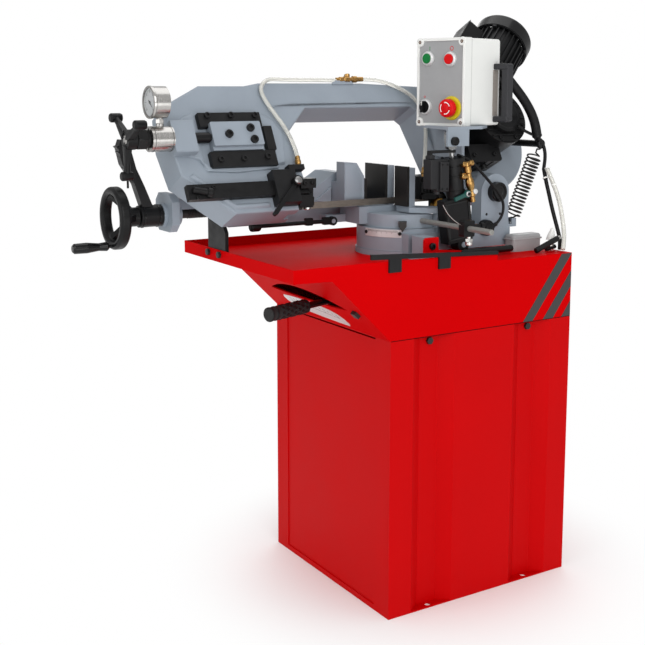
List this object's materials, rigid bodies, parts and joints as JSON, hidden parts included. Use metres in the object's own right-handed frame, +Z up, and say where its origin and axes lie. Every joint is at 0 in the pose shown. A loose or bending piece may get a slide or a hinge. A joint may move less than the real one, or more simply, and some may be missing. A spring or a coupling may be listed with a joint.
{
  "type": "metal cutting band saw",
  "caption": "Horizontal pull-down band saw for metal: leaning bow on a swivel turntable, screw vise, drip tray and sheet cabinet; cuts bar and tube square or at an angle.",
  "frame": {"origin": "centre of the four floor bolts, on the floor", "axes": "+Z up, +X along the blade from the operator's end to the bow pivot, +Y to the infeed and vise side"},
  "size_m": [1.1296, 0.5912, 1.2842],
  "materials": {
    "red_paint": "red enamel on folded sheet, semi gloss",
    "red_lever": "red enamel on flat bar",
    "grey_paint": "grey machine paint on castings",
    "pale_grey": "pale grey painted box",
    "panel_grey": "grey control panel",
    "black_paint": "black paint, satin",
    "black_steel": "blackened steel",
    "steel": "bright turned steel",
    "blade_steel": "blade strip",
    "chrome": "bright plated",
    "black_plastic": "black plastic",
    "rubber": "black rubber grip",
    "green": "green plastic",
    "red_plastic": "red plastic",
    "brass": "brass wires",
    "clear_hose": "clear soft hose",
    "cable": "black cable sheath and conduit"
  },
  "bodies": {
    "stand": {"cabinet_shell": "red_paint", "front_panel": "red_paint", "drip_tray": "red_paint", "tray_brackets": "black_paint", "stand_hardware": "black_steel", "swivel_post": "grey_paint", "vise_bed": "grey_paint", "fixed_jaw_plate": "black_steel", "stop_rod": "steel", "pump_body": "grey_paint", "supply_lines": "cable"},
    "stop_slider": {"stop_clamp": "black_plastic"},
    "swivel_clamp": {"clamp_lever": "black_steel", "clamp_grip": "rubber"},
    "swivel": {"swivel_arm": "grey_paint", "column": "grey_paint", "pivot_shaft": "black_paint", "fence": "grey_paint", "fence_plate": "black_steel"},
    "swivel_lock": {"lock_lever": "red_lever", "lock_grip": "black_plastic"},
    "feed_barrel": {"feed_cylinder": "black_paint"},
    "feed_piston": {"feed_rod": "steel"},
    "feed_valve": {"valve_lever": "green"},
    "spring": {"balance_spring": "black_steel"},
    "bow": {"bow_casting": "grey_paint", "back_cover": "grey_paint", "saw_blade": "blade_steel", "gearbox": "black_paint", "motor_body": "black_paint", "motor_cowl": "black_paint", "control_box": "pale_grey", "control_panel": "panel_grey", "front_bracket": "grey_paint", "tension_rails": "black_paint", "tension_cell": "chrome", "guide_bracket": "black_paint", "right_guide": "black_paint", "spring_bar": "black_paint", "coolant_hoses": "clear_hose", "bow_cables": "cable"},
    "driver": {"drive_wheel": "steel"},
    "idler": {"idler_wheel": "steel"},
    "fan": {"motor_fan": "black_plastic"},
    "brush": {"wire_brush": "brass"},
    "tensioner": {"tension_handle": "black_paint"},
    "carriage": {"tension_carriage": "black_paint"},
    "guide": {"guide_arm": "black_paint"},
    "guide_clamp": {"guide_lever": "black_plastic"},
    "vise_drive": {"vise_screw": "black_steel", "handwheel": "black_paint"},
    "crank": {"crank_grip": "black_plastic"},
    "jaw": {"moving_jaw": "grey_paint", "moving_jaw_plate": "black_steel"},
    "jaw_catch": {"jaw_lever": "black_plastic"},
    "quick_clamp": {"quick_lever": "black_plastic"},
    "start": {"start_button": "green"},
    "stop": {"stop_button": "red_plastic"},
    "estop": {"estop_button": "red_plastic"},
    "selector": {"selector_knob": "black_plastic"}
  },
  "joints": [
    {"name": "swivel_turn", "type": "hinge", "parent": "stand", "child": "swivel", "pos_m": [-0.058, -0.008, 0.78], "axis": [0, 0, 1], "range_deg": [0, 45]},
    {"name": "clamp_turn", "type": "hinge", "parent": "stand", "child": "swivel_clamp", "pos_m": [-0.058, -0.008, 0.668], "axis": [0, 0, 1], "range_deg": [-36, 3]},
    {"name": "stop_slide", "type": "slide", "parent": "stand", "child": "stop_slider", "axis": [0, 1, 0], "range_m": [-0.06, 0.06]},
    {"name": "bow_lift", "type": "hinge", "parent": "swivel", "child": "bow", "pos_m": [0.115, -0.09, 0.88], "axis": [0, 1, 0], "range_deg": [0, 45], "deforming": ["balance_spring"]},
    {"name": "lock_turn", "type": "hinge", "parent": "stand", "child": "swivel_lock", "pos_m": [-0.104, -0.177, 0.779], "axis": [0, -1, 0], "range_deg": [0, 12]},
    {"name": "feed_tilt", "type": "hinge", "parent": "swivel", "child": "feed_barrel", "pos_m": [0, -0.144, 0.772], "axis": [0, 1, 0], "range_deg": [0, 25.83]},
    {"name": "feed_stroke", "type": "slide", "parent": "feed_barrel", "child": "feed_piston", "axis": [-0.1316, 0, 0.9913], "range_m": [0, 0.08164]},
    {"name": "valve_turn", "type": "hinge", "parent": "feed_barrel", "child": "feed_valve", "pos_m": [-0.00284, -0.1711, 0.8846], "axis": [0, -1, 0], "range_deg": [-60, 30]},
    {"name": "spring_swing", "type": "hinge", "parent": "swivel", "child": "spring", "pos_m": [0.176, -0.1116, 0.812], "axis": [0, 1, 0], "range_deg": [0, 44.82]},
    {"name": "drive_spin", "type": "hinge", "parent": "bow", "child": "driver", "pos_m": [0.168, 0.05284, 0.9804], "axis": [0, -0.891, 0.454], "continuous": true},
    {"name": "idler_spin", "type": "hinge", "parent": "carriage", "child": "idler", "pos_m": [-0.468, 0.05284, 0.9804], "axis": [0, -0.891, 0.454], "continuous": true},
    {"name": "fan_spin", "type": "hinge", "parent": "bow", "child": "fan", "pos_m": [0.27592, 0.05505, 1.21823], "axis": [0.7071, 0.321, 0.63], "continuous": true},
    {"name": "brush_spin", "type": "hinge", "parent": "bow", "child": "brush", "pos_m": [0.028, -0.029, 0.844], "axis": [0, 1, 0], "continuous": true},
    {"name": "tension_turn", "type": "hinge", "parent": "bow", "child": "tensioner", "pos_m": [-0.7, 0.01013, 1.01113], "axis": [-1, 0, 0], "range_deg": [0, 1440]},
    {"name": "carriage_slide", "type": "slide", "parent": "bow", "child": "carriage", "axis": [1, 0, 0], "range_m": [0, 0.0081]},
    {"name": "guide_slide", "type": "slide", "parent": "bow", "child": "guide", "axis": [1, 0, 0], "range_m": [0, 0.12]},
    {"name": "guide_clamp_turn", "type": "hinge", "parent": "bow", "child": "guide_clamp", "pos_m": [-0.364, -0.0572, 0.91862], "axis": [0, -0.891, 0.454], "range_deg": [-30, 30]},
    {"name": "vise_turn", "type": "hinge", "parent": "stand", "child": "vise_drive", "pos_m": [-0.695, 0.115, 0.846], "axis": [-1, 0, 0], "range_deg": [-3816, 6480]},
    {"name": "jaw_slide", "type": "slide", "parent": "stand", "child": "jaw", "axis": [-1, 0, 0], "range_m": [-0.0532, 0.0902]},
    {"name": "crank_spin", "type": "hinge", "parent": "vise_drive", "child": "crank", "pos_m": [-0.75, 0.107, 0.79], "axis": [1, 0, 0], "continuous": true},
    {"name": "catch_turn", "type": "hinge", "parent": "stand", "child": "jaw_catch", "pos_m": [-0.212, 0.044, 0.817], "axis": [0, 1, 0], "range_deg": [-8, 8]},
    {"name": "quick_turn", "type": "hinge", "parent": "stand", "child": "quick_clamp", "pos_m": [-0.62, 0.115, 0.846], "axis": [1, 0, 0], "range_deg": [-60, 0]},
    {"name": "start_press", "type": "slide", "parent": "bow", "child": "start", "axis": [0.971, 0.239, 0], "range_m": [0, 0.004], "stiffness_N_per_m": 350},
    {"name": "stop_press", "type": "slide", "parent": "bow", "child": "stop", "axis": [0.971, 0.239, 0], "range_m": [0, 0.004], "stiffness_N_per_m": 350},
    {"name": "estop_press", "type": "slide", "parent": "bow", "child": "estop", "axis": [0.971, 0.239, 0], "range_m": [0, 0.005]},
    {"name": "selector_turn", "type": "hinge", "parent": "bow", "child": "selector", "pos_m": [-0.02236, -0.03765, 1.0695], "axis": [-0.971, -0.239, 0], "range_deg": [-45, 45]}
  ],
  "couplings": [
    {"joint": "feed_tilt", "follows": "bow_lift", "ratio": 0.56957},
    {"joint": "feed_stroke", "follows": "bow_lift", "m_per_rad": 0.10343},
    {"joint": "spring_swing", "follows": "bow_lift", "ratio": 0.98938},
    {"joint": "idler_spin", "follows": "drive_spin", "ratio": 1},
    {"joint": "fan_spin", "follows": "drive_spin", "ratio": 20},
    {"joint": "brush_spin", "follows": "drive_spin", "ratio": -8},
    {"joint": "carriage_slide", "follows": "tension_turn", "m_per_rad": 0.00031831},
    {"joint": "jaw_slide", "follows": "vise_turn", "m_per_rad": 0.00079577}
  ]
}
